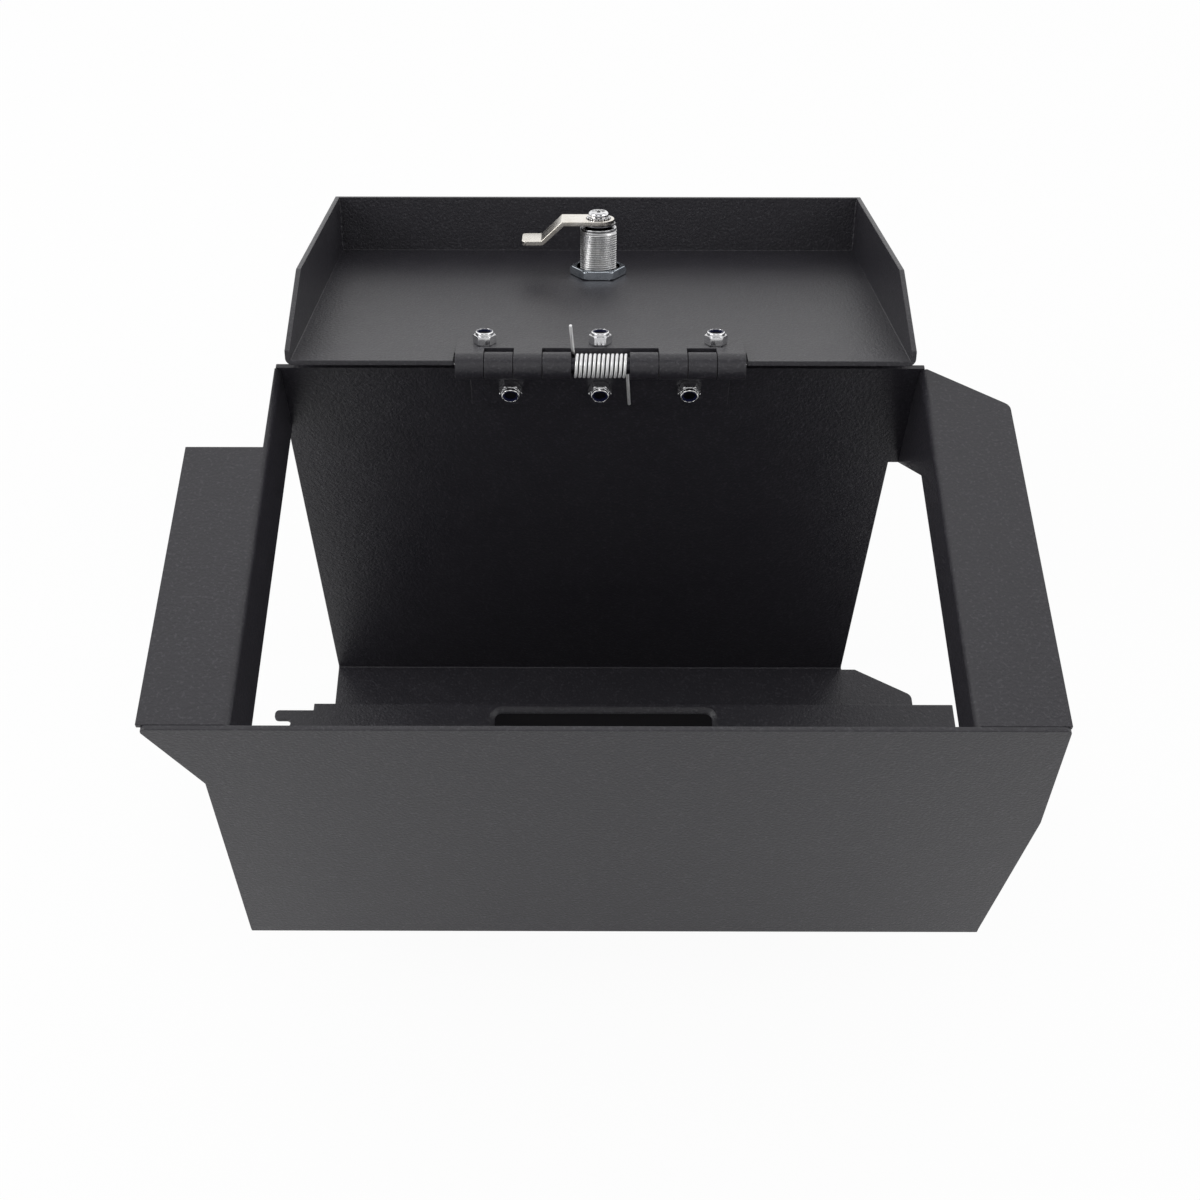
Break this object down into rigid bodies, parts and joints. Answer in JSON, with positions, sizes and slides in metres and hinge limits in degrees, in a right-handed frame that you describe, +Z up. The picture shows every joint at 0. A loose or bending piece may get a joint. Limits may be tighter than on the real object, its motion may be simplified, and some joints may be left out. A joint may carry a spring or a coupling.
{
  "type": "console safe",
  "caption": "Sheet-steel console safe insert with open top and sides, hinged tray lid shown open, pop-up torsion spring on the hinge and a cam lock in the lid",
  "frame": {"origin": "on the underside of the standing floor, in the middle of its depth, on the hinge's centre plane", "axes": "+X to the right along the hinge pin, +Y to the back, the way the lid opens, +Z up through the open top"},
  "size_m": [0.3204, 0.3132, 0.2419],
  "materials": {
    "black_powder_coat": "satin black fine-texture powder coat",
    "spring_wire": "drawn spring wire, pale zinc plate",
    "bright_zinc": "bright zinc plate",
    "blue_zinc": "blue-passivated zinc plate",
    "black_oxide": "black oxide, lightly oiled",
    "die_cast_nickel": "satin nickel plate on a zinc casting",
    "cam_nickel": "bright nickel plate",
    "blue_nylon": "dark blue nylon",
    "brass_wafer": "stamped brass"
  },
  "bodies": {
    "box": {"rear_panel": "black_powder_coat", "front_panel": "black_powder_coat", "left_rail": "black_powder_coat", "right_rail": "black_powder_coat", "hinge_body_leaf": "black_powder_coat", "hinge_pin": "black_oxide", "torsion_spring": "spring_wire", "body_hinge_screws": "black_oxide", "body_hinge_nuts": "bright_zinc", "body_nut_rings": "blue_nylon"},
    "lid": {"lid_shell": "black_powder_coat", "hinge_lid_leaf": "black_powder_coat", "lid_hinge_screws": "black_oxide", "lid_hinge_nuts": "bright_zinc", "lid_nut_rings": "blue_nylon", "lock_housing": "die_cast_nickel", "lock_nut": "blue_zinc"},
    "lock_core": {"lock_plug": "die_cast_nickel", "lock_wafers": "brass_wafer", "lock_stop_washer": "bright_zinc", "lock_spring_washer": "bright_zinc", "lock_cam": "cam_nickel", "cam_toothed_washer": "bright_zinc", "cam_screw": "bright_zinc"}
  },
  "joints": [
    {"name": "lid_hinge", "type": "hinge", "parent": "box", "child": "lid", "pos_m": [0, 0.0227, 0.224], "axis": [1, 0, 0], "range_deg": [0, 207.4], "deforming": ["torsion_spring"]},
    {"name": "lock_turn", "type": "hinge", "parent": "lid", "child": "lock_core", "pos_m": [0, 0.12676, 0.17378], "axis": [0, -0.4602, -0.8878], "range_deg": [0, 90]}
  ]
}
